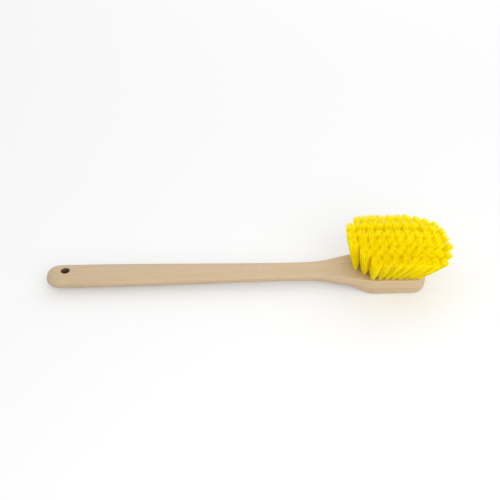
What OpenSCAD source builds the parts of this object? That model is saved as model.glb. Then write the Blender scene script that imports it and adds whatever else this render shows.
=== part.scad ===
// Long-handled utility scrub brush: one moulded handle-and-block, tufts of
// stiff filament fanned out over the block, and one flat wire anchor per tuft.
// Millimetres, +Z up. Origin: centre of the block's flat back, on the table
// plane. +X runs towards the toe, the handle runs towards -X.

/* [Block] */
// Width of the block across the tuft rows
block_w = 67.5; // [66:0.5:71]
// Thickness of the block
block_t = 22.5; // [21:0.5:26]
// Distance from the origin to the toe
toe_x = 39.2; // [39:0.1:43]
// Length of the rounded toe, measured along X
toe_len = 21; // [19:0.5:28]
// Squareness of the toe in plan, 2 is a plain ellipse
toe_power = 2.5; // [2.4:0.1:3.2]
// Rounding of the block's top edge
block_edge_top = 2; // [1.5:0.25:2.5]
// Rounding of the block's bottom edge
block_edge_back = 3; // [2.5:0.25:4]

/* [Handle] */
// Distance from the origin to the handle's end
handle_end_x = 468; // [440:1:500]
// Width of the grip near the handle's end
grip_w = 39; // [36:0.2:42]
// Width of the handle at its narrow neck
neck_w = 31.2; // [28:0.2:34]
// Thickness of the handle at its end
grip_t = 20.2; // [18:0.2:22]
// Thickness of the handle at its neck
neck_t = 18.6; // [17:0.2:20]
// Height of the handle's centre plane above the table
handle_z = 14.1; // [13:0.1:15]
// Length of the rounded end of the handle
end_len = 21; // [17:0.5:24]
// Where the handle starts to widen into the block
flare_x0 = -116; // [-122:1:-110]
// Where the block reaches its full width
flare_x1 = -31; // [-34:1:-28]

/* [Hanging hole] */
// Radius of the hanging hole
hang_r = 5.5; // [4:0.25:6.5]
// Distance of the hanging hole from the handle's end
hang_inset = 25.5; // [20:0.5:30]

/* [Tufts] */
// Distance between cross-rows of tufts, along X
pitch_x = 8.7; // [8.4:0.05:8.8]
// Distance between long rows of tufts, along Y
pitch_y = 10.75; // [10.4:0.05:11]
// X position of the first cross-row
first_x = -53.4; // [-54:0.1:-53]
// Height of the trimmed face above the block
trim_h = 48.5; // [40:0.5:55]
// Lean added from one cross-row to the next, at the trimmed face
fan_x = 3.9; // [3:0.1:4.2]
// Number of the cross-row that stands upright, counted from 0
upright_row = 1.9; // [1:0.1:3]
// Spread of the long rows at the trimmed face, as a ratio
fan_y = 1.75; // [1.4:0.05:1.9]
// Fall of the trimmed face at a sideways lean of 32 mm
trim_fall = 7.8; // [4:0.2:10]
// Radius of a drilled tuft hole
hole_r = 2.5; // [2.2:0.05:2.5]
// Depth of a drilled tuft hole along its axis
hole_depth = 13; // [11:0.5:14]
// Radius of a tuft at its trimmed end
tuft_tip_r = 5.2; // [4:0.1:5.3]

/* [Anchors] */
// Length of a flat wire anchor
anchor_l = 5.7; // [5.5:0.1:6.1]
// Width of the anchor's flat wire
anchor_h = 2; // [1.6:0.1:2.2]
// Thickness of the anchor's flat wire
anchor_t = 0.4; // [0.3:0.05:0.5]
// Angle of the anchors to the brush's length
anchor_turn = 12; // [8:1:40]

/* [Hidden] */

// Radial play between a tuft's root and its hole, and round an anchor
play = 0.05;
// Height over which the root keeps its own radius above the block
collar = 3.2;
// Gap left under the root, and height of the anchor above the root's foot
foot = 0.4;
seat = 1.2;

// Smooth step from 0 to 1 as x goes from a to b
function ease(x, a, b) =
    let (u = min(1, max(0, (x - a) / (b - a)))) u * u * (3 - 2 * u);
function mix(a, b, k) = a + (b - a) * k;

// ---- plan outline -------------------------------------------------------
toe_start = toe_x - toe_len;
end_start = -handle_end_x + end_len;

// Share of the widening reached at x: it curves in, runs straight and ends in
// a short rounded corner
flare_in = 25.5;
flare_out = 6.5;
flare_rate = 1 / (flare_x1 - flare_x0 - flare_in / 2 - flare_out / 2);
function flare(x) =
    x <= flare_x0 ? 0 :
    x < flare_x0 + flare_in ? flare_rate * pow(x - flare_x0, 2) / (2 * flare_in) :
    x < flare_x1 - flare_out ? flare_rate * (x - flare_x0 - flare_in / 2) :
    x < flare_x1 ? 1 - flare_rate * pow(flare_x1 - x, 2) / (2 * flare_out) : 1;

// Half width of the body between its two rounded ends
function half_w(x) =
    mix(grip_w, neck_w, ease(x, end_start + 42, -124)) / 2
    + 1.5 * ease(x, -150, -60)
    + (block_w / 2 - neck_w / 2 - 1.5) * flare(x);

end_steps = 9;
toe_steps = 11;
// One side of the outline, from the handle's end round to the toe
side = concat(
    [for (k = [0:end_steps])
        let (a = 90 * k / end_steps, e = 2 / 2.35)
        [-handle_end_x + end_len - end_len * pow(cos(a), e),
            half_w(end_start) * pow(sin(a), e)]],
    [for (x = [end_start + 20:23:-170]) [x, half_w(x)]],
    [for (x = [-158:9:-104]) [x, half_w(x)]],
    [for (x = [-98:4.5:-44]) [x, half_w(x)]],
    [for (x = [-40:2.5:flare_x1 + 1]) [x, half_w(x)]],
    [for (x = [-24:13:toe_start - 3]) [x, half_w(x)]],
    [for (k = [0:toe_steps])
        let (a = 90 * k / toe_steps, e = 2 / toe_power)
        [toe_start + toe_len * pow(sin(a), e),
            block_w / 2 * pow(cos(a), e)]]);
last = len(side) - 1;

// Outward direction of the outline at point i
function out(i) =
    i == 0 ? [-1, 0] : i == last ? [1, 0] :
    let (d = side[i + 1] - side[i - 1], n = [-d[1], d[0]]) n / norm(n);

// ---- side profile -------------------------------------------------------
function mid_z(x) = handle_z + 0.45 * ease(x, -330, -150);
function thick(x) = mix(grip_t, neck_t, ease(x, -420, -150));
// The body is lofted a little oversize over the block, then planed flat
over = 0.6;
function top_z(x) =
    mix(mid_z(x) + thick(x) / 2, block_t + over, ease(x, -150, -84));
function back_z(x) =
    mix(mid_z(x) - thick(x) / 2, -over, ease(x, -68, -33));
function edge_top(x) =
    mix(thick(x) * 0.42, block_edge_top, ease(x, -100, -42));
function edge_back(x) =
    mix(thick(x) * 0.42, block_edge_back, ease(x, -66, -36))
    + 3 * ease(x, toe_x - 25, toe_x);
// Crown of the handle's faces, which fades out towards the block
function crown(x) = 0.9 * (1 - ease(x, -150, -84));

arc = 5;
// Inset and height of level k of the edge profile at station x
function level(k, x) =
    k <= arc ?
        let (a = 90 * k / arc, r = edge_back(x))
        [r * (1 - sin(a)), back_z(x) + crown(x) + (r - crown(x) * 0.5) * (1 - cos(a))]
    :
        let (a = 90 * (k - arc - 1) / arc, r = edge_top(x))
        [r * (1 - cos(a)), top_z(x) - crown(x) - (r - crown(x) * 0.5) * (1 - sin(a))];
levels = 2 * arc + 2;

module body_loft() {
    ring = 2 * last;
    pts = concat(
        [for (k = [0:levels - 1]) for (m = [0:ring - 1])
            let (i = m <= last ? m : ring - m, s = m <= last ? 1 : -1,
                p = side[i], n = out(i), l = level(k, p[0]))
            [p[0] - n[0] * l[0], s * (p[1] - n[1] * l[0]), l[1]]],
        // spine points under and over each pair of side points
        [for (i = [1:last - 1])
            let (p = side[i], n = out(i), l = level(0, p[0]))
            [p[0] - n[0] * l[0], 0, back_z(p[0])]],
        [for (i = [1:last - 1])
            let (p = side[i], n = out(i), l = level(levels - 1, p[0]))
            [p[0] - n[0] * l[0], 0, top_z(p[0])]]);
    b0 = levels * ring - 1;
    t0 = b0 + last - 1;
    tl = (levels - 1) * ring;
    walls = [for (k = [0:levels - 2]) for (m = [0:ring - 1])
        let (a = k * ring + m, b = k * ring + (m + 1) % ring)
        each [[a, a + ring, b + ring], [a, b + ring, b]]];
    back = concat(
        [[0, 1, b0 + 1], [0, b0 + 1, ring - 1]],
        [for (i = [1:last - 2]) each [
            [i, i + 1, b0 + i + 1], [i, b0 + i + 1, b0 + i],
            [b0 + i, b0 + i + 1, ring - i - 1], [b0 + i, ring - i - 1, ring - i]]],
        [[last - 1, last, b0 + last - 1], [b0 + last - 1, last, last + 1]]);
    top = concat(
        [[tl, t0 + 1, tl + 1], [tl, tl + ring - 1, t0 + 1]],
        [for (i = [1:last - 2]) each [
            [tl + i, t0 + i + 1, tl + i + 1], [tl + i, t0 + i, t0 + i + 1],
            [t0 + i, tl + ring - i - 1, t0 + i + 1],
            [t0 + i, tl + ring - i, tl + ring - i - 1]]],
        [[tl + last - 1, t0 + last - 1, tl + last],
            [t0 + last - 1, tl + last + 1, tl + last]]);
    polyhedron(points = pts, faces = concat(walls, back, top), convexity = 6);
}

// ---- tuft layout --------------------------------------------------------
rows = 11;
lanes = 6;
// First and last cross-row that each long row fills, from the +Y side
lane_first = [1, 0, 0, 0, 1, 2];
lane_last = [10, 10, 10, 10, 10, 9];
// For each long row from the +Y side: shift of its tips along X and the change
// of that shift per cross-row, its share of the fan across, and how far the fan
// gathers in at the toe
tip_shift = [0, -0.3, 0, 0.4, 0.9, 0.4];
tip_gain = [0, -0.2, 0.1, 0.15, -0.3, 0.05];
fan_share = [1, 1.35, 1, 1, 1.03, 1.02];
gather = [0.62, 0.8, 0.5, 0.4, -0.05, 0.3];
function used(i, j) = i >= lane_first[j] && i <= lane_last[j];

// The +Y long row sets ten tufts in the length of nine
function base_x(i, j) = j == 0
    ? first_x + pitch_x * (1 + (i - 1) * 8 / 9)
    : first_x + pitch_x * i - (i == 0 ? 1.3 : 0) + (j == 5 ? 1.4 * ease(i, 1, 3) : 0);
function base(i, j) = [base_x(i, j), (2.5 - j) * pitch_y, block_t];
function lean_x(i, j) = j == 0
    ? fan_x / 3.9 * (40.5 * ease(i, 0.3, 12) - 6.5)
    : fan_x * (i - upright_row) + tip_shift[j] + tip_gain[j] * i + (i == 0 ? 0.6 : 0)
        - (j == 3 || j == 5 ? 0 : 1.3 * ease(i, 8.5, 10));
function lean_y(i, j) = (fan_y - 1) * (2.5 - j) * pitch_y * fan_share[j]
    * (1 - gather[j] * ease(i, 7, 10.5) - (j == 0 ? 0.2 * (1 - ease(i, 1, 2.5)) : 0)
        - (j == 1 ? 0.26 * (1 - ease(i, 0, 1.5)) : 0));
function lean(i, j) = [lean_x(i, j), lean_y(i, j)];
// The +Y long row stands a little proud of the trimmed face towards the toe
function rise(i, j) = trim_h - trim_fall * pow(norm(lean(i, j)) / 32, 3.5)
    + (j == 0 ? 0.4 + 2.1 * ease(i, 4, 7.5) * (1 - 0.7 * ease(i, 8.5, 10)) : 0);
function reach(i, j) = norm([lean(i, j)[0], lean(i, j)[1], rise(i, j)]);
function tilt(i, j) = atan2(norm(lean(i, j)), rise(i, j));
function turn(i, j) = atan2(lean(i, j)[1], lean(i, j)[0]);

// Puts its children at tuft (i, j) with +Z along the tuft
module at_tuft(i, j)
    translate(base(i, j)) rotate([0, tilt(i, j), turn(i, j)])
        rotate([0, 0, anchor_turn - turn(i, j)]) children();

module anchor(grow = 0)
    translate([-anchor_l / 2 - grow, -anchor_t / 2 - grow, -hole_depth + foot + seat - grow])
        cube([anchor_l + 2 * grow, anchor_t + 2 * grow, anchor_h + 2 * grow]);

module tuft_hole() {
    translate([0, 0, -hole_depth])
        cylinder(r = hole_r, h = hole_depth + 12, $fn = 32);
    anchor(0.03);
}

module tuft(i, j)
    difference() {
        union() {
            translate([0, 0, -hole_depth + foot])
                cylinder(r = hole_r - play, h = hole_depth - foot + collar, $fn = 32);
            translate([0, 0, collar])
                cylinder(r1 = hole_r - play, r2 = tuft_tip_r,
                    h = reach(i, j) - collar, $fn = 32);
        }
        anchor(0.03);
    }

module tuft_row(i)
    color([0.97, 0.86, 0.05]) for (j = [0:lanes - 1])
        if (used(i, j)) at_tuft(i, j) tuft(i, j);

module anchor_row(i)
    color([0.72, 0.72, 0.74]) for (j = [0:lanes - 1])
        if (used(i, j)) at_tuft(i, j) anchor();

// ---- nodes --------------------------------------------------------------
// Planes the loft down to the block's flat top, easing off into the handle
module top_plane()
    rotate([90, 0, 0]) translate([0, 0, -60]) linear_extrude(height = 120)
        polygon(concat(
            [[toe_x + 20, block_t], [toe_x + 20, block_t + 20], [-150, block_t + 20]],
            [for (x = [-150:6:-84]) [x, top_z(x) + 0.01 - over * ease(x, -126, -84)]],
            [[-84, block_t]]));

module handle_block()
    color([0.83, 0.73, 0.60]) difference() {
        body_loft();
        top_plane();
        translate([-200, -60, -20]) cube([300, 120, 20]);
        for (i = [0:rows - 1]) for (j = [0:lanes - 1])
            if (used(i, j)) at_tuft(i, j) tuft_hole();
        translate([-handle_end_x + hang_inset, 0, -1])
            cylinder(r = hang_r, h = 60, $fn = 64);
    }

module tuft_row_01() tuft_row(0);
module tuft_row_02() tuft_row(1);
module tuft_row_03() tuft_row(2);
module tuft_row_04() tuft_row(3);
module tuft_row_05() tuft_row(4);
module tuft_row_06() tuft_row(5);
module tuft_row_07() tuft_row(6);
module tuft_row_08() tuft_row(7);
module tuft_row_09() tuft_row(8);
module tuft_row_10() tuft_row(9);
module tuft_row_11() tuft_row(10);
module anchor_row_01() anchor_row(0);
module anchor_row_02() anchor_row(1);
module anchor_row_03() anchor_row(2);
module anchor_row_04() anchor_row(3);
module anchor_row_05() anchor_row(4);
module anchor_row_06() anchor_row(5);
module anchor_row_07() anchor_row(6);
module anchor_row_08() anchor_row(7);
module anchor_row_09() anchor_row(8);
module anchor_row_10() anchor_row(9);
module anchor_row_11() anchor_row(10);

handle_block();
tuft_row_01();
tuft_row_02();
tuft_row_03();
tuft_row_04();
tuft_row_05();
tuft_row_06();
tuft_row_07();
tuft_row_08();
tuft_row_09();
tuft_row_10();
tuft_row_11();
anchor_row_01();
anchor_row_02();
anchor_row_03();
anchor_row_04();
anchor_row_05();
anchor_row_06();
anchor_row_07();
anchor_row_08();
anchor_row_09();
anchor_row_10();
anchor_row_11();
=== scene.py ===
"""A long-handled brush lying on its back with the bristles up.

The handle runs towards -X and the block sits at the +X end, both centred on y = 0, with the
block's back on z = 0. Tufts stand in cross-rows (index i, from the handle towards the toe)
and lanes (index j, from +Y to -Y). Shapes are worked out in mm and stored in metres.
"""
import math
from collections import namedtuple

import bmesh
import bpy
import numpy as np
from mathutils import Matrix, Vector


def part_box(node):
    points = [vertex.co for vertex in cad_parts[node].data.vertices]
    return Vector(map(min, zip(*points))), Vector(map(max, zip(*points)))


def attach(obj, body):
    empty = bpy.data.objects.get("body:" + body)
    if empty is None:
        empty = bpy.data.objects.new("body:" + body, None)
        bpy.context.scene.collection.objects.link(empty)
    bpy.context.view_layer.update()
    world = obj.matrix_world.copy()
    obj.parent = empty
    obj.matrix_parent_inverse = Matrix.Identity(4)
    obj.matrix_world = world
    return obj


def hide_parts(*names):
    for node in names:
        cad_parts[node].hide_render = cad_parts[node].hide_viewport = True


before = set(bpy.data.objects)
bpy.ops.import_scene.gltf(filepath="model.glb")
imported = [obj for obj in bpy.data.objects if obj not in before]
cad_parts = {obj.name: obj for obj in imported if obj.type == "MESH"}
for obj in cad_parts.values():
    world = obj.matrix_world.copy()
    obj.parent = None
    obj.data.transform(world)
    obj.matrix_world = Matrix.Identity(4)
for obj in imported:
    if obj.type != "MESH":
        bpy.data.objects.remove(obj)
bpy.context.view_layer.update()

MM = 0.001
scene = bpy.context.scene

# --------------------------------------------------------------------------
# Handle and block sizes, mm
# --------------------------------------------------------------------------
block_lo, block_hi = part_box("handle_block")
END_X = block_lo.x / MM           # free end of the handle
TOE_X = block_hi.x / MM           # far end of the block
BLOCK_W = (block_hi.y - block_lo.y) / MM
BLOCK_T = 22.5

GRIP_W, NECK_W = 39.0, 31.2
GRIP_T, NECK_T = 20.2, 18.6
HANDLE_Z, HANDLE_RISE = 14.1, 0.45        # mid height at the grip, gain at the neck
SHOULDER = 1.5                            # half width gained ahead of the flare
END_LEN, END_POWER = 21.0, 2.35           # superellipse that rounds the handle's end
TOE_LEN, TOE_POWER = 21.0, 2.5            # and the toe
END_ROUND_X = END_X + END_LEN
TOE_ROUND_X = TOE_X - TOE_LEN

# the handle widens into the block from FLARE0 to FLARE1: curved start, straight run, corner
FLARE0, FLARE1 = -116.0, -31.0
FLARE_IN, FLARE_OUT = 25.5, 6.5
FLARE_RATE = 1 / (FLARE1 - FLARE0 - FLARE_IN / 2 - FLARE_OUT / 2)

EDGE_TOP, EDGE_BACK, EDGE_TOE_GAIN = 2.0, 3.0, 3.0    # edge radii of the block
HANDLE_EDGE = 0.42                        # edge radius of the handle, share of its thickness
CROWN = 1.15                              # height of the handle's crowned faces
CROWN_FLATTEN = 0.10                      # share an edge arc loses per mm of crown
MIN_FLAT = 2.0                            # least half width inside the edges
PART_Z = 11.0                             # parting line on the block
DRAFT, DRAFT_SPAN = 0.45, 6.0             # wall draft, and the wall height that gets it all

# x spans over which one size eases into the next
NARROW_SPAN = (END_ROUND_X + 42, -124)
SHOULDER_SPAN = (-150, -60)
HANDLE_RISE_SPAN = (-330, -150)
THIN_SPAN = (-420, -150)
TOP_SPAN, BACK_SPAN = (-150, -84), (-68, -35)
EDGE_TOP_SPAN, EDGE_BACK_SPAN = (-100, -42), (-66, -36)
EDGE_TOE_SPAN = (TOE_X - 25, TOE_X)
CROWN_TOP_SPAN, CROWN_BACK_SPAN = (-150, -76), (-70, -38)
PART_SPAN = (-70, -30)

# mesh steps
END_STEPS, TOE_STEPS = 20, 30
EDGE_STEPS = 9
CAP_STEPS = 9

HANG_R, HANG_LIP = 5.5, 1.5               # hanging hole, and the rounding of its rims
HANG_X = END_X + 25.5

# --------------------------------------------------------------------------
# Tuft sizes, mm
# --------------------------------------------------------------------------
ROWS = 11
PITCH_X, PITCH_Y, FIRST_X = 8.7, 10.75, -53.4
MID_LANE = 2.5
TRIM_H, TRIM_FALL, TRIM_REACH = 48.5, 7.8, 32   # tip height, and its drop at that reach
FAN_X, UPRIGHT = 3.9, 1.9                 # lean along X per row, row number that stands upright
FAN_Y = 1.75                              # tip spacing across, share of the foot spacing
HOLE_R, HOLE_DEPTH, HOLE_CLEAR = 2.5, 13.0, 9.0
TUFT_TIP_X, TUFT_TIP_Y = 6.0, 8.1         # tip half widths along and across the anchor
ANCHOR_TURN = math.radians(12.0)

# first, last: rows the lane fills; shift, gain: tip shift along X, and its growth per row;
# share: of the fan across; gather: fan lost towards the toe; pale: strength of the painted
# highlight that whitens the cut ends; power: how soon the tuft spreads
Lane = namedtuple("Lane", "first last shift gain share gather pale power")
LANES = [
    Lane(1, 10, 0.0, 0.00, 1.00, 0.62, 0.80, 3.2),
    Lane(0, 10, -0.3, -0.20, 1.35, 0.80, 0.30, 3.2),
    Lane(0, 10, 0.0, 0.10, 1.00, 0.50, 0.05, 3.2),
    Lane(0, 10, 0.4, 0.15, 1.00, 0.40, 0.00, 3.2),
    Lane(1, 10, 0.9, -0.30, 1.03, -0.05, 0.00, 3.2),
    Lane(2, 9, 0.4, 0.05, 1.02, 0.30, 0.00, 2.0),
]

FOLDED = 50                               # filaments in a tuft, each folded into two legs
FIL_R = 0.235
FIL_SIDES = 6
ROOT_R = HOLE_R - FIL_R - 0.04
LEG_STATIONS = (-8.8, -1.5, 2.2, 6.5, 13.0, 22.0, 33.0)    # distances along the tuft axis
TIP_BEVEL, TIP_TAPER = 0.14, 0.80         # length and radius share of the narrowed cut end
FOLD_SIDE, FOLD_BOTTOM = -11.2, -12.2     # along the axis, either side of and at the fold
FOLD_PINCH = 0.80
STRIPS = 32                               # UV columns shared out among the filaments

Tuft = namedtuple("Tuft", "foot side_x side_y axis length")
X_AXIS, Y_AXIS, Z_AXIS = np.eye(3)


def ease(x, start, end):
    share = min(1.0, max(0.0, (x - start) / (end - start)))
    return share * share * (3 - 2 * share)


def mix(first, second, share):
    return first + (second - first) * share


# --------------------------------------------------------------------------
# Handle and block: one lofted moulding, its sizes as functions of x
# --------------------------------------------------------------------------
def flare(x):
    """Share of the widening reached at x."""
    if x <= FLARE0:
        return 0.0
    if x < FLARE0 + FLARE_IN:
        return FLARE_RATE * (x - FLARE0) ** 2 / (2 * FLARE_IN)
    if x < FLARE1 - FLARE_OUT:
        return FLARE_RATE * (x - FLARE0 - FLARE_IN / 2)
    if x < FLARE1:
        return 1 - FLARE_RATE * (FLARE1 - x) ** 2 / (2 * FLARE_OUT)
    return 1.0


def half_width(x):
    return (mix(GRIP_W, NECK_W, ease(x, *NARROW_SPAN)) / 2
            + SHOULDER * ease(x, *SHOULDER_SPAN)
            + (BLOCK_W / 2 - NECK_W / 2 - SHOULDER) * flare(x))


def mid_z(x):
    return HANDLE_Z + HANDLE_RISE * ease(x, *HANDLE_RISE_SPAN)


def thickness(x):
    return mix(GRIP_T, NECK_T, ease(x, *THIN_SPAN))


def top_z(x):
    return mix(mid_z(x) + thickness(x) / 2, BLOCK_T, ease(x, *TOP_SPAN))


def back_z(x):
    return mix(mid_z(x) - thickness(x) / 2, 0.0, ease(x, *BACK_SPAN))


def edge_top(x):
    return mix(thickness(x) * HANDLE_EDGE, EDGE_TOP, ease(x, *EDGE_TOP_SPAN))


def edge_back(x):
    return (mix(thickness(x) * HANDLE_EDGE, EDGE_BACK, ease(x, *EDGE_BACK_SPAN))
            + EDGE_TOE_GAIN * ease(x, *EDGE_TOE_SPAN))


def crown_top(x):
    return CROWN * (1 - ease(x, *CROWN_TOP_SPAN))


def crown_back(x):
    return CROWN * (1 - ease(x, *CROWN_BACK_SPAN))


def flat_half_width(x, edge_radius):
    return max(MIN_FLAT, half_width(x) - edge_radius)


def outline():
    """(x, y) points of the +Y side, from the handle's end to the toe."""
    points = []
    for k in range(END_STEPS + 1):
        angle = math.pi / 2 * k / END_STEPS
        power = 2 / END_POWER
        points.append((END_ROUND_X - END_LEN * max(0, math.cos(angle)) ** power,
                       half_width(END_ROUND_X) * math.sin(angle) ** power))
    x = END_ROUND_X + 7
    while x < FLARE0 - 30:
        points.append((x, half_width(x)))
        x += 8.0
    while x < TOE_ROUND_X - 2.0:
        points.append((x, half_width(x)))
        # finer round the flare's corner
        x += 1.3 if FLARE1 - FLARE_OUT - 3 < x < FLARE1 + 2 else 3.2
    for k in range(TOE_STEPS + 1):
        angle = math.pi / 2 * k / TOE_STEPS
        power = 2 / TOE_POWER
        points.append((TOE_ROUND_X + TOE_LEN * math.sin(angle) ** power,
                       BLOCK_W / 2 * max(0, math.cos(angle)) ** power))
    return points


SIDE = outline()
LAST = len(SIDE) - 1


def outward(i):
    """Unit normal of the outline at point i."""
    if i == 0:
        return (-1.0, 0.0)
    if i == LAST:
        return (1.0, 0.0)
    step_x = SIDE[i + 1][0] - SIDE[i - 1][0]
    step_y = SIDE[i + 1][1] - SIDE[i - 1][1]
    length = math.hypot(step_x, step_y)
    return (-step_y / length, step_x / length)


def edge_arc(x, radius, crown):
    """(inset, depth below the face) pairs round an edge, from the face to the wall."""
    slope = 2 * crown / flat_half_width(x, radius)
    arc = []
    for k in range(EDGE_STEPS + 1):
        angle = math.pi / 2 * k / EDGE_STEPS
        inset = radius * (1 - math.sin(angle))
        drop = radius * (1 - math.cos(angle)) * (1 - CROWN_FLATTEN * crown)
        arc.append((inset, crown + drop - slope * (inset - radius)))
    return arc


def profile(i):
    """(inset, height) pairs from the underside's inner edge round to the top's inner edge."""
    x = SIDE[i][0]
    part = mix(mid_z(x), PART_Z, ease(x, *PART_SPAN))
    lower = [(inset, back_z(x) + depth)
             for inset, depth in edge_arc(x, edge_back(x), crown_back(x))]
    upper = [(inset, top_z(x) - depth)
             for inset, depth in reversed(edge_arc(x, edge_top(x), crown_top(x)))]
    # walls with a little draft each way from the parting line
    span_low = max(0.2, part - lower[-1][1])
    span_high = max(0.2, upper[0][1] - part)
    draft_low = DRAFT * min(1.0, span_low / DRAFT_SPAN)
    draft_high = DRAFT * min(1.0, span_high / DRAFT_SPAN)
    ridge = [(0.05, part - min(0.42, span_low * 0.6)),
             (-0.07, part - min(0.16, span_low * 0.25)),
             (-0.07, part + min(0.16, span_high * 0.25)),
             (0.05, part + min(0.42, span_high * 0.6))]
    return ([(inset + draft_low, z) for inset, z in lower] + ridge
            + [(inset + draft_high, z) for inset, z in upper])


def add_cap(verts, faces, base, ring, up):
    """Closes the ring of points that starts at base with crowned rows across."""
    rows = []
    for i in range(1, LAST):
        x, y, z = verts[base + i]
        crown = crown_top(x) if up else crown_back(x)
        flat = flat_half_width(x, edge_top(x) if up else edge_back(x))
        row = [base + i]
        for k in range(1, CAP_STEPS):
            across = 1 - 2 * k / CAP_STEPS
            lift = crown * ((y / flat) ** 2) * (1 - across * across)
            verts.append((x, y * across, z + (lift if up else -lift)))
            row.append(len(verts) - 1)
        row.append(base + ring - i)
        rows.append(row)
    for row, following in zip(rows, rows[1:]):
        for k in range(CAP_STEPS):
            quad = (row[k], row[k + 1], following[k + 1], following[k])
            faces.append(quad[::-1] if up else quad)
    for tip, row in ((base, rows[0]), (base + LAST, rows[-1])):
        for k in range(CAP_STEPS):
            triangle = (tip, row[k], row[k + 1])
            faces.append(triangle if (tip == base) == up else triangle[::-1])


def add_bands(faces, start, steps, bands):
    """Quads between successive closed rings of points."""
    for k in range(bands):
        for side in range(steps):
            here = start + k * steps + side
            beside = start + k * steps + (side + 1) % steps
            faces.append((here, beside, beside + steps, here + steps))


def body_mesh():
    profiles = [profile(i) for i in range(LAST + 1)]
    levels = len(profiles[0])
    ring = 2 * LAST
    verts, faces = [], []
    for k in range(levels):
        for around in range(ring):
            i = around if around <= LAST else ring - around
            sign = 1 if around <= LAST else -1
            normal = outward(i)
            inset, z = profiles[i][k]
            verts.append((SIDE[i][0] - normal[0] * inset,
                          sign * (SIDE[i][1] - normal[1] * inset), z))
    add_bands(faces, 0, ring, levels - 1)
    add_cap(verts, faces, 0, ring, up=False)
    add_cap(verts, faces, (levels - 1) * ring, ring, up=True)

    mesh = bpy.data.meshes.new("handle_block_moulding")
    mesh.from_pydata([(x * MM, y * MM, z * MM) for x, y, z in verts], [], faces)
    bm = bmesh.new()
    bm.from_mesh(mesh)
    bmesh.ops.recalc_face_normals(bm, faces=bm.faces)
    bm.to_mesh(mesh)
    bm.free()
    mesh.validate()
    return mesh


# --------------------------------------------------------------------------
# Where each tuft stands and how it leans
# --------------------------------------------------------------------------
def filled(i, j):
    return LANES[j].first <= i <= LANES[j].last


def tuft_at(i, j):
    """The tuft's foot, unit vectors along and across its anchor, axis and length."""
    lane = LANES[j]
    if j == 0:
        # ten tufts over eight pitches
        foot_x = FIRST_X + PITCH_X * (1 + (i - 1) * 8 / 9)
        lean_x = 40.5 * ease(i, 0.3, 12) - 6.5
    else:
        foot_x = (FIRST_X + PITCH_X * i - (1.3 if i == 0 else 0.0)
                  + (1.4 * ease(i, 1, 3) if j == 5 else 0.0))
        lean_x = (FAN_X * (i - UPRIGHT) + lane.shift + lane.gain * i + (0.6 if i == 0 else 0.0)
                  - (0.0 if j in (3, 5) else 1.3 * ease(i, 8.5, 10)))
    fan = 1 - lane.gather * ease(i, 7, 10.5)
    if j == 0:
        fan -= 0.2 * (1 - ease(i, 1, 2.5))
    if j == 1:
        fan -= 0.26 * (1 - ease(i, 0, 1.5))
    foot_y = (MID_LANE - j) * PITCH_Y
    lean_y = (FAN_Y - 1) * foot_y * lane.share * fan
    rise = TRIM_H - TRIM_FALL * (math.hypot(lean_x, lean_y) / TRIM_REACH) ** 3.5
    if j == 0:
        rise += 0.4 + 2.1 * ease(i, 4, 7.5) * (1 - 0.7 * ease(i, 8.5, 10))
    reach = np.array([lean_x, lean_y, rise])
    length = float(np.linalg.norm(reach))
    axis = reach / length
    tilt = math.acos(axis[2])
    turn = math.atan2(axis[1], axis[0])
    # lean without twisting, so the anchors keep their turn
    basis = (Matrix.Rotation(turn, 3, "Z") @ Matrix.Rotation(tilt, 3, "Y")
             @ Matrix.Rotation(ANCHOR_TURN - turn, 3, "Z"))
    return Tuft(np.array([foot_x, foot_y, BLOCK_T]),
                np.array(basis.col[0]), np.array(basis.col[1]), axis, length)


# --------------------------------------------------------------------------
# Holes
# --------------------------------------------------------------------------
def lathe(outline_rz, steps, origin, axes, verts, faces, spin):
    """Closed solid of revolution about the last of axes; outline from low to high, mm."""
    side_x, side_y, axis = axes
    start = len(verts)
    for radius, z in outline_rz:
        for k in range(steps):
            angle = 2 * math.pi * (k + spin) / steps
            point = (origin + side_x * (radius * math.cos(angle))
                     + side_y * (radius * math.sin(angle)) + axis * z)
            verts.append(tuple(point * MM))
    add_bands(faces, start, steps, len(outline_rz) - 1)
    faces.append(tuple(start + k for k in range(steps))[::-1])
    top = start + (len(outline_rz) - 1) * steps
    faces.append(tuple(top + k for k in range(steps)))


def tuft_holes(verts, faces, spin):
    hole = [(HOLE_R * 0.97, -HOLE_DEPTH), (HOLE_R, -HOLE_DEPTH + 0.6), (HOLE_R, HOLE_CLEAR)]
    for i in range(ROWS):
        for j in range(len(LANES)):
            if filled(i, j):
                tuft = tuft_at(i, j)
                lathe(hole, 20, tuft.foot, (tuft.side_x, tuft.side_y, tuft.axis),
                      verts, faces, spin)


def hang_hole(verts, faces, spin):
    # (radius, depth inside the face) of one rounded rim; the other mirrors it
    rim = [(HANG_R + HANG_LIP + 0.6, -3), (HANG_R + HANG_LIP + 0.25, -0.02)]
    for k in range(8):
        angle = math.pi / 2 * k / 7
        rim.append((HANG_R + HANG_LIP * (1 - math.sin(angle)),
                    0.02 + HANG_LIP * (1 - math.cos(angle))))
    points = [(radius, back_z(HANG_X) + depth) for radius, depth in rim]
    points += [(radius, top_z(HANG_X) - depth) for radius, depth in reversed(rim)]
    lathe(points, 64, np.array([HANG_X, 0, 0]), (X_AXIS, Y_AXIS, Z_AXIS), verts, faces, spin)


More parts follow.
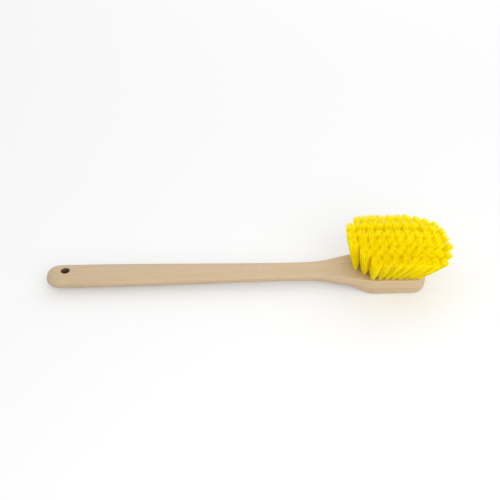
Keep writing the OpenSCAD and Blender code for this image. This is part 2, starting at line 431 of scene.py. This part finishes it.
def drill(obj, builder):
    """Cuts with the builder's solid; an empty or broken result is cut again, turned a little."""
    before = len(obj.data.vertices)
    for spin in (0.0, 0.31, 0.57, 0.83):
        verts, faces = [], []
        builder(verts, faces, spin)
        mesh = bpy.data.meshes.new("cutter")
        mesh.from_pydata(verts, [], faces)
        cutter = bpy.data.objects.new("cutter", mesh)
        scene.collection.objects.link(cutter)
        cut = obj.modifiers.new("drill", "BOOLEAN")
        cut.operation = "DIFFERENCE"
        cut.solver = "EXACT"
        cut.use_self = True
        cut.object = cutter
        bpy.context.view_layer.objects.active = obj
        depsgraph = bpy.context.evaluated_depsgraph_get()
        drilled = bpy.data.meshes.new_from_object(obj.evaluated_get(depsgraph))
        obj.modifiers.clear()
        bpy.data.objects.remove(cutter)
        if len(drilled.vertices) > before * 0.95:
            obj.data = drilled
            return
    raise RuntimeError("the holes could not be cut")


body = bpy.data.objects.new("handle_block_moulding", body_mesh())
scene.collection.objects.link(body)
drill(body, hang_hole)
drill(body, tuft_holes)
for polygon in body.data.polygons:
    polygon.use_smooth = True
body.data.set_sharp_from_angle(angle=math.radians(38))


# --------------------------------------------------------------------------
# Bristles: every tuft is a bundle of filaments folded double round its anchor
# --------------------------------------------------------------------------
class RowData:
    """Mesh lists of one cross-row."""

    def __init__(self):
        self.verts, self.faces, self.uvs = [], [], []
        self.attributes = {"along": [], "strand": [], "pale": []}


def half_disc(count, rng):
    """Points spread in a sunflower spiral over the half disc y > 0 of radius 1."""
    points = []
    k = 0
    total = 2 * count
    golden = math.pi * (3 - math.sqrt(5))
    while len(points) < count:
        radius = math.sqrt((k + 0.5) / total)
        x, y = radius * math.cos(k * golden), radius * math.sin(k * golden)
        if y > 0:
            points.append((x, y))
        k += 1
        if k >= total and len(points) < count:
            x = rng.uniform(-0.8, 0.8)
            points.append((x, rng.uniform(0.1, math.sqrt(1 - x * x) * 0.95)))
    return points


def tip_sizes(i, j, toe, rng):
    """Half widths of the tuft's tip; tufts near the toe and in the first lane are smaller."""
    near = j > 2
    corner = i == 1 and j == 0
    size_x = ((TUFT_TIP_X - (1.3 if near else 0.8) * toe) * rng.uniform(0.95, 1.05)
              * (0.80 if corner else 0.94 if j == 0 or i == 0 else 1.0))
    size_y = ((TUFT_TIP_Y - (2.5 if near else 1.6) * toe) * rng.uniform(0.95, 1.05)
              * (0.85 if corner else 1.0))
    return size_x, size_y


def tip_place(x, y, twist, toe, sizes):
    """Where a leg placed at x, y in the unit disc ends up across the tip."""
    cos_twist, sin_twist = math.cos(twist), math.sin(twist)
    hollow = max(0.12, math.hypot(x, y)) ** -0.22
    # neighbouring tufts press each other towards square
    lobe = math.atan2(y, x)
    square = (abs(math.cos(lobe)) ** 3 + abs(math.sin(lobe)) ** 3) ** (-1 / 3)
    hollow *= mix(square, 1.0, toe)
    return np.array([(x * cos_twist - y * sin_twist) * hollow * sizes[0],
                     (x * sin_twist + y * cos_twist) * hollow * sizes[1]])


def leg_path(tuft, power, root, tip, drift, rng):
    """(point, distance along the axis) pairs from the hole up to the cut end."""
    jitter = rng.normal(0, 0.168, 2)
    wander = rng.normal(0, 0.22, 2)
    bow = rng.normal(0, 0.25, 2)

    def at(station):
        share = max(0.0, station) / tuft.length
        # just past the tip the power turns complex, and its real part counts
        spread = (1 - (1 - share) ** power).real
        offset = (mix(root, tip, spread) + jitter * share
                  + ((drift + wander) * share * share + bow * math.sin(math.pi * share)))
        return (tuft.foot + tuft.side_x * offset[0] + tuft.side_y * offset[1]
                + tuft.axis * station)

    # trim where the filament meets the trimmed face
    cut_normal = tuft.axis * 0.80 + Z_AXIS * 0.20
    cut_normal /= np.linalg.norm(cut_normal)
    tip_point = tuft.foot + tuft.axis * tuft.length
    end = tuft.length
    for _ in range(4):
        end -= float(np.dot(at(end) - tip_point, cut_normal) / np.dot(tuft.axis, cut_normal))
    end += rng.normal(0, 0.20) - abs(rng.normal(0, 0.16))
    return [(at(station), station) for station in (*LEG_STATIONS, end - TIP_BEVEL, end)]


def fold_path(tuft, x, y, rng):
    """The fold under the anchor that joins the two legs."""
    depth = -11.95 - 0.5 * y - 0.08 * rng.random()
    middle = tuft.foot + tuft.side_x * (x * ROOT_R)
    aside = tuft.side_y * (y * ROOT_R * FOLD_PINCH)
    side = tuft.axis * FOLD_SIDE
    return [(middle + aside + side, FOLD_SIDE),
            (middle + tuft.axis * depth, FOLD_BOTTOM),
            (middle - aside + side, FOLD_SIDE)]


def add_tube(row, path, tuft, strip, rng):
    """Sweeps a filament along its path; returns the number of points added."""
    points = np.array([point for point, _ in path])
    stations = np.array([station for _, station in path])
    count = len(points)
    tangent = np.gradient(points, axis=0)
    tangent /= np.linalg.norm(tangent, axis=1)[:, None]
    normal = tuft.side_x[None, :] - (tangent @ tuft.side_x)[:, None] * tangent
    normal /= np.linalg.norm(normal, axis=1)[:, None]
    binormal = np.cross(tangent, normal)
    radius = np.full(count, FIL_R * rng.uniform(0.93, 1.05))
    radius[0] *= TIP_TAPER
    radius[-1] *= TIP_TAPER
    angle = 2 * np.pi * (np.arange(FIL_SIDES) + rng.random()) / FIL_SIDES
    rings = (points[:, None, :] + radius[:, None, None]
             * (np.cos(angle)[None, :, None] * normal[:, None, :]
                + np.sin(angle)[None, :, None] * binormal[:, None, :]))
    start = len(row.verts)
    row.verts.extend(map(tuple, rings.reshape(-1, 3) * MM))
    row.attributes["along"].extend(
        np.repeat(np.clip(stations / tuft.length, -0.3, 1), FIL_SIDES))

    add_bands(row.faces, start, FIL_SIDES, count - 1)
    for k in range(count - 1):
        v0, v1 = (0.02 + 0.96 * level / (count - 1) for level in (k, k + 1))
        for side in range(FIL_SIDES):
            u0, u1 = ((strip + 0.15 + 0.7 * edge / FIL_SIDES) / STRIPS
                      for edge in (side, side + 1))
            row.uvs.extend([(u0, v0), (u1, v0), (u1, v1), (u0, v1)])
    top = start + (count - 1) * FIL_SIDES
    row.faces.append(tuple(start + side for side in range(FIL_SIDES))[::-1])
    row.faces.append(tuple(top + side for side in range(FIL_SIDES)))
    for v in (0.018, 0.98):
        for side in range(FIL_SIDES):
            row.uvs.append(((strip + 0.5) / STRIPS, v + 0.002 * (side % 2)))
    return count * FIL_SIDES


def add_tuft(row, i, j):
    lane, tuft = LANES[j], tuft_at(i, j)
    rng = np.random.default_rng(1000 + 37 * i + j)
    toe = ease(i + (1 if j == 5 else 0), 8.3, 10)
    sizes = tip_sizes(i, j, toe, rng)
    twist = rng.uniform(-0.25, 0.25)
    drift = rng.normal(0, 0.45, 2)
    for x, y in half_disc(FOLDED, rng):
        strand = rng.random()
        strip = int(rng.integers(0, STRIPS))
        first, second = (
            leg_path(tuft, lane.power, np.array([x, leg_y]) * ROOT_R,
                     tip_place(x, leg_y, twist, toe, sizes), drift, rng)
            for leg_y in (y, -y))
        path = first[::-1] + fold_path(tuft, x, y, rng) + second
        added = add_tube(row, path, tuft, strip, rng)
        # strength of the painted highlight on this filament's cut end, fading towards the rim of
        # the tuft
        pale = lane.pale * (1 - ease(math.hypot(x, y), 0.55, 0.85))
        row.attributes["strand"].extend([strand] * added)
        row.attributes["pale"].extend([pale] * added)


def bristle_object(i):
    row = RowData()
    for j in range(len(LANES)):
        if filled(i, j):
            add_tuft(row, i, j)
    name = "bristle_row_%02d" % (i + 1)
    mesh = bpy.data.meshes.new(name)
    mesh.from_pydata(row.verts, [], row.faces)
    for label, values in row.attributes.items():
        attribute = mesh.attributes.new(label, "FLOAT", "POINT")
        attribute.data.foreach_set("value", np.array(values, np.float32))
    layer = mesh.uv_layers.new(name="OFBake")
    layer.data.foreach_set("uv", np.array(row.uvs, np.float32).ravel())
    mesh.polygons.foreach_set("use_smooth", np.ones(len(mesh.polygons), bool))
    mesh.set_sharp_from_angle(angle=math.radians(60))
    obj = bpy.data.objects.new(name, mesh)
    scene.collection.objects.link(obj)
    return obj


bristles = [bristle_object(i) for i in range(ROWS)]


# --------------------------------------------------------------------------
# Shader node helpers
# --------------------------------------------------------------------------
def set_inputs(tree, node, inputs):
    """Links each input that is given a socket and sets the others."""
    for key, value in inputs.items():
        if isinstance(value, bpy.types.NodeSocket):
            tree.links.new(value, node.inputs[key])
        else:
            node.inputs[key].default_value = value


def add_node(tree, kind, inputs, **settings):
    node = tree.nodes.new("ShaderNode" + kind)
    for key, value in settings.items():
        setattr(node, key, value)
    set_inputs(tree, node, inputs)
    return node


def new_material(name):
    material = bpy.data.materials.new(name)
    material.use_nodes = True
    tree = material.node_tree
    tree.nodes.clear()
    output = add_node(tree, "OutputMaterial", {})
    bsdf = add_node(tree, "BsdfPrincipled", {})
    tree.links.new(bsdf.outputs["BSDF"], output.inputs["Surface"])
    return material, tree, bsdf


def object_coords(tree):
    return add_node(tree, "TexCoord", {}).outputs["Object"]


def attribute(tree, name):
    return add_node(tree, "Attribute", {}, attribute_name=name).outputs["Fac"]


def noise(tree, vector, scale, detail=4.0, roughness=0.55, distortion=0.0):
    return add_node(tree, "TexNoise", {
        "Scale": scale, "Detail": detail, "Roughness": roughness, "Distortion": distortion,
        "Vector": vector}).outputs["Fac"]


def stretched(tree, vector, scale):
    return add_node(tree, "Mapping", {"Scale": scale, "Vector": vector}).outputs["Vector"]


def ramp(tree, factor, stops):
    node = add_node(tree, "ValToRGB", {"Fac": factor})
    elements = node.color_ramp.elements
    while len(elements) > 1:
        elements.remove(elements[-1])
    elements[0].position = stops[0][0]
    elements[0].color = (*stops[0][1], 1)
    for position, color in stops[1:]:
        elements.new(position).color = (*color, 1)
    return node.outputs["Color"]


def mix_color(tree, factor, first, second):
    """Colours are sockets or RGB tuples."""
    first, second = ((*color, 1) if isinstance(color, tuple) else color
                     for color in (first, second))
    return add_node(tree, "Mix", {0: factor, 6: first, 7: second},
                    data_type="RGBA", blend_type="MIX").outputs[2]


def clamped_product(tree, first, second):
    return add_node(tree, "Math", {0: first, 1: second},
                    operation="MULTIPLY", use_clamp=True).outputs[0]


def map_range(tree, value, source, to):
    return add_node(tree, "MapRange", {
        "Value": value, "From Min": source[0], "From Max": source[1],
        "To Min": to[0], "To Max": to[1]}).outputs["Result"]


def bump(tree, height, strength, distance, **below):
    return add_node(tree, "Bump", {
        "Strength": strength, "Distance": distance, "Height": height,
        **below}).outputs["Normal"]


# --------------------------------------------------------------------------
# Materials
# --------------------------------------------------------------------------
def handle_material():
    material, tree, bsdf = new_material("moulded_foam_plastic")
    coords = object_coords(tree)
    # flow swirls and fine streaks drawn out along the handle
    swirl = noise(tree, stretched(tree, coords, (9.0, 60.0, 60.0)),
                  scale=1.0, detail=5.0, roughness=0.6, distortion=1.2)
    tone = ramp(tree, swirl, [
        (0.30, (0.504, 0.372, 0.229)),
        (0.50, (0.539, 0.404, 0.251)),
        (0.72, (0.574, 0.436, 0.277))])
    streak = noise(tree, stretched(tree, coords, (14.0, 420.0, 420.0)),
                   scale=1.0, detail=3.0, roughness=0.5, distortion=0.3)
    streak = map_range(tree, streak, source=(0.35, 0.75), to=(0.0, 0.35))
    tone = mix_color(tree, streak, tone, (0.596, 0.459, 0.295))
    mottle = noise(tree, coords, scale=260.0, detail=4.0, roughness=0.6)
    patches = map_range(tree, mottle, source=(0.40, 0.75), to=(0.0, 0.30))
    tone = mix_color(tree, patches, tone, (0.482, 0.349, 0.213))
    # sparse darker specks
    cells = add_node(tree, "TexVoronoi", {"Scale": 95.0, "Vector": coords})
    speck = map_range(tree, cells.outputs["Distance"], source=(0.02, 0.07), to=(1.0, 0.0))
    pick = noise(tree, coords, scale=55.0, detail=1.0)
    pick = map_range(tree, pick, source=(0.60, 0.66), to=(0.0, 0.35))
    tone = mix_color(tree, clamped_product(tree, speck, pick), tone, (0.42, 0.27, 0.17))
    # painted shade: the wall of the hanging hole is darkened towards near black to stand in for
    # the shade inside it
    away = add_node(tree, "VectorMath", {
        0: stretched(tree, coords, (1.0, 1.0, 0.0)), 1: (HANG_X * MM, 0.0, 0.0)},
        operation="DISTANCE")
    painted_hole_shade = map_range(tree, away.outputs["Value"],
                     source=((HANG_R + 1.0) * MM, (HANG_R + 0.1) * MM), to=(0.0, 0.88))
    tone = mix_color(tree, painted_hole_shade, tone, (0.085, 0.050, 0.028))
    # broad waviness under a fine grain
    wave = noise(tree, stretched(tree, coords, (25.0, 110.0, 110.0)), scale=1.0, detail=2.0)
    wavy = bump(tree, wave, strength=0.25, distance=0.0004)
    grain = noise(tree, coords, scale=1500.0, detail=3.0, roughness=0.6)
    set_inputs(tree, bsdf, {
        "Base Color": tone,
        "Roughness": map_range(tree, mottle, source=(0.3, 0.7), to=(0.46, 0.60)),
        "IOR": 1.46,
        "Normal": bump(tree, grain, strength=0.25, distance=0.00006, Normal=wavy)})
    return material


def bristle_material():
    material, tree, bsdf = new_material("yellow_filament")
    along, strand = attribute(tree, "along"), attribute(tree, "strand")
    base = ramp(tree, along, [
        (0.0, (0.985, 0.81, 0.0)), (0.25, (0.995, 0.85, 0.0)),
        (0.97, (0.998, 0.875, 0.0)), (0.995, (1.0, 0.90, 0.02))])
    vary = ramp(tree, strand, [
        (0.0, (0.99, 0.83, 0.0)), (0.5, (0.997, 0.865, 0.0)), (1.0, (1.0, 0.90, 0.0))])
    color = mix_color(tree, 0.45, base, vary)
    mottle = noise(tree, object_coords(tree), scale=420.0, detail=2.0)
    mottle = map_range(tree, mottle, source=(0.45, 0.8), to=(0.0, 0.25))
    color = mix_color(tree, mottle, color, (0.985, 0.81, 0.0))
    # painted highlight: the cut ends of the lanes on the +Y side are whitened to stand in for
    # the glare they catch from the back light
    end = map_range(tree, along, source=(0.985, 0.997), to=(0.0, 1.0))
    end = clamped_product(tree, end, attribute(tree, "pale"))
    set_inputs(tree, bsdf, {
        "Base Color": mix_color(tree, end, color, (1.0, 0.99, 0.75)),
        "Roughness": map_range(tree, strand, source=(0.0, 1.0), to=(0.30, 0.48)),
        "Specular IOR Level": 0.08,
        "Subsurface Weight": 0.8,
        "Subsurface Radius": (1.0, 0.85, 0.05),
        "Subsurface Scale": 0.0014})
    return material


def anchor_material():
    material, tree, bsdf = new_material("drawn_flat_wire")
    lines = noise(tree, stretched(tree, object_coords(tree), (900.0, 120.0, 6000.0)),
                  scale=1.0, detail=3.0)
    set_inputs(tree, bsdf, {
        "Base Color": ramp(tree, lines, [(0.3, (0.42, 0.42, 0.44)), (0.7, (0.62, 0.62, 0.65))]),
        "Metallic": 1.0,
        "Roughness": map_range(tree, lines, source=(0.3, 0.7), to=(0.28, 0.45)),
        "Normal": bump(tree, lines, strength=0.3, distance=0.00003)})
    return material


def floor_material():
    """Pale grey to the light; to the camera a lifted white with a weak shadow."""
    material, tree, bsdf = new_material("pale_floor")
    set_inputs(tree, bsdf, {
        "Base Color": (0.80, 0.80, 0.80, 1), "Roughness": 0.9, "Specular IOR Level": 0.1})
    seen = add_node(tree, "BsdfPrincipled", {
        "Base Color": (0.62, 0.62, 0.62, 1),
        "Emission Color": (1, 1, 1, 1), "Emission Strength": 0.265,
        "Roughness": 0.9, "Specular IOR Level": 0.0})
    rays = add_node(tree, "LightPath", {})
    choose = add_node(tree, "MixShader", {
        0: rays.outputs["Is Camera Ray"], 1: bsdf.outputs["BSDF"], 2: seen.outputs["BSDF"]})
    tree.links.new(choose.outputs[0], tree.nodes["Material Output"].inputs["Surface"])
    return material


beige, yellow, steel = handle_material(), bristle_material(), anchor_material()
body.data.materials.clear()
body.data.materials.append(beige)
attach(body, "root")
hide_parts("handle_block")
for i, obj in enumerate(bristles):
    obj.data.materials.append(yellow)
    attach(obj, "root")
    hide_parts("tuft_row_%02d" % (i + 1))
for name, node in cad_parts.items():
    if name.startswith("anchor_row_"):
        if not node.data.materials:
            node.data.materials.append(steel)
        for slot in node.material_slots:
            slot.material = steel

# --------------------------------------------------------------------------
# Stage, light and camera, metres
# --------------------------------------------------------------------------
FLOOR_HALF = 6.0
floor_mesh = bpy.data.meshes.new("floor")
floor_mesh.from_pydata([(x * FLOOR_HALF, y * FLOOR_HALF, 0)
                        for x, y in ((-1, -1), (1, -1), (1, 1), (-1, 1))], [], [(0, 1, 2, 3)])
floor = bpy.data.objects.new("floor", floor_mesh)
scene.collection.objects.link(floor)
floor_mesh.materials.append(floor_material())

world = bpy.data.worlds.new("studio")
scene.world = world
world.use_nodes = True
set_inputs(world.node_tree, world.node_tree.nodes["Background"],
           {"Color": (1, 1, 1, 1), "Strength": 0.76})


def softbox(name, location, target, size, power):
    light = bpy.data.lights.new(name, "AREA")
    light.shape = "RECTANGLE"
    light.size, light.size_y = size
    light.energy = power
    obj = bpy.data.objects.new(name, light)
    obj.location = location
    aim = Vector(target) - Vector(location)
    obj.rotation_euler = aim.to_track_quat("-Z", "Y").to_euler()
    scene.collection.objects.link(obj)


softbox("softbox_back", location=(0.45, 1.35, 1.05), target=(-0.1, 0.0, 0.0),
        size=(2.6, 1.3), power=9.9)
softbox("softbox_front", location=(0.32, -0.95, 0.75), target=(0.0, 0.0, 0.03),
        size=(1.3, 0.9), power=8.9)
softbox("softbox_left", location=(-1.2, 0.4, 1.3), target=(-0.1, 0.0, 0.0),
        size=(1.3, 1.3), power=2.0)

# the camera looks down towards +Y at a point on the floor
CAMERA_ELEVATION, CAMERA_YAW = math.radians(38.684), math.radians(-1.743)
CAMERA_TARGET = Vector((-0.194176, 0.066456, 0.0))
CAMERA_DISTANCE = 1.3412
LENS_MM, SENSOR_MM = 68.584104, 36.0

forward = Vector((-math.sin(CAMERA_YAW) * math.cos(CAMERA_ELEVATION),
                  math.cos(CAMERA_YAW) * math.cos(CAMERA_ELEVATION),
                  -math.sin(CAMERA_ELEVATION)))
right = Vector((math.cos(CAMERA_YAW), math.sin(CAMERA_YAW), 0))
pose = Matrix((right, right.cross(forward), -forward)).transposed().to_4x4()
pose.translation = CAMERA_TARGET - forward * CAMERA_DISTANCE
camera_data = bpy.data.cameras.new("camera")
camera_data.sensor_width = SENSOR_MM
camera_data.lens = LENS_MM
camera_data.clip_end = 50
camera = bpy.data.objects.new("camera", camera_data)
camera.matrix_world = pose
scene.collection.objects.link(camera)
scene.camera = camera

# pale plastics pass light on many times before it is lost
scene.cycles.max_bounces = 26
scene.cycles.diffuse_bounces = 22

scene.view_settings.view_transform = "Standard"
scene.view_settings.look = "None"
scene.view_settings.exposure = 0.0
scene.view_settings.gamma = 1.0
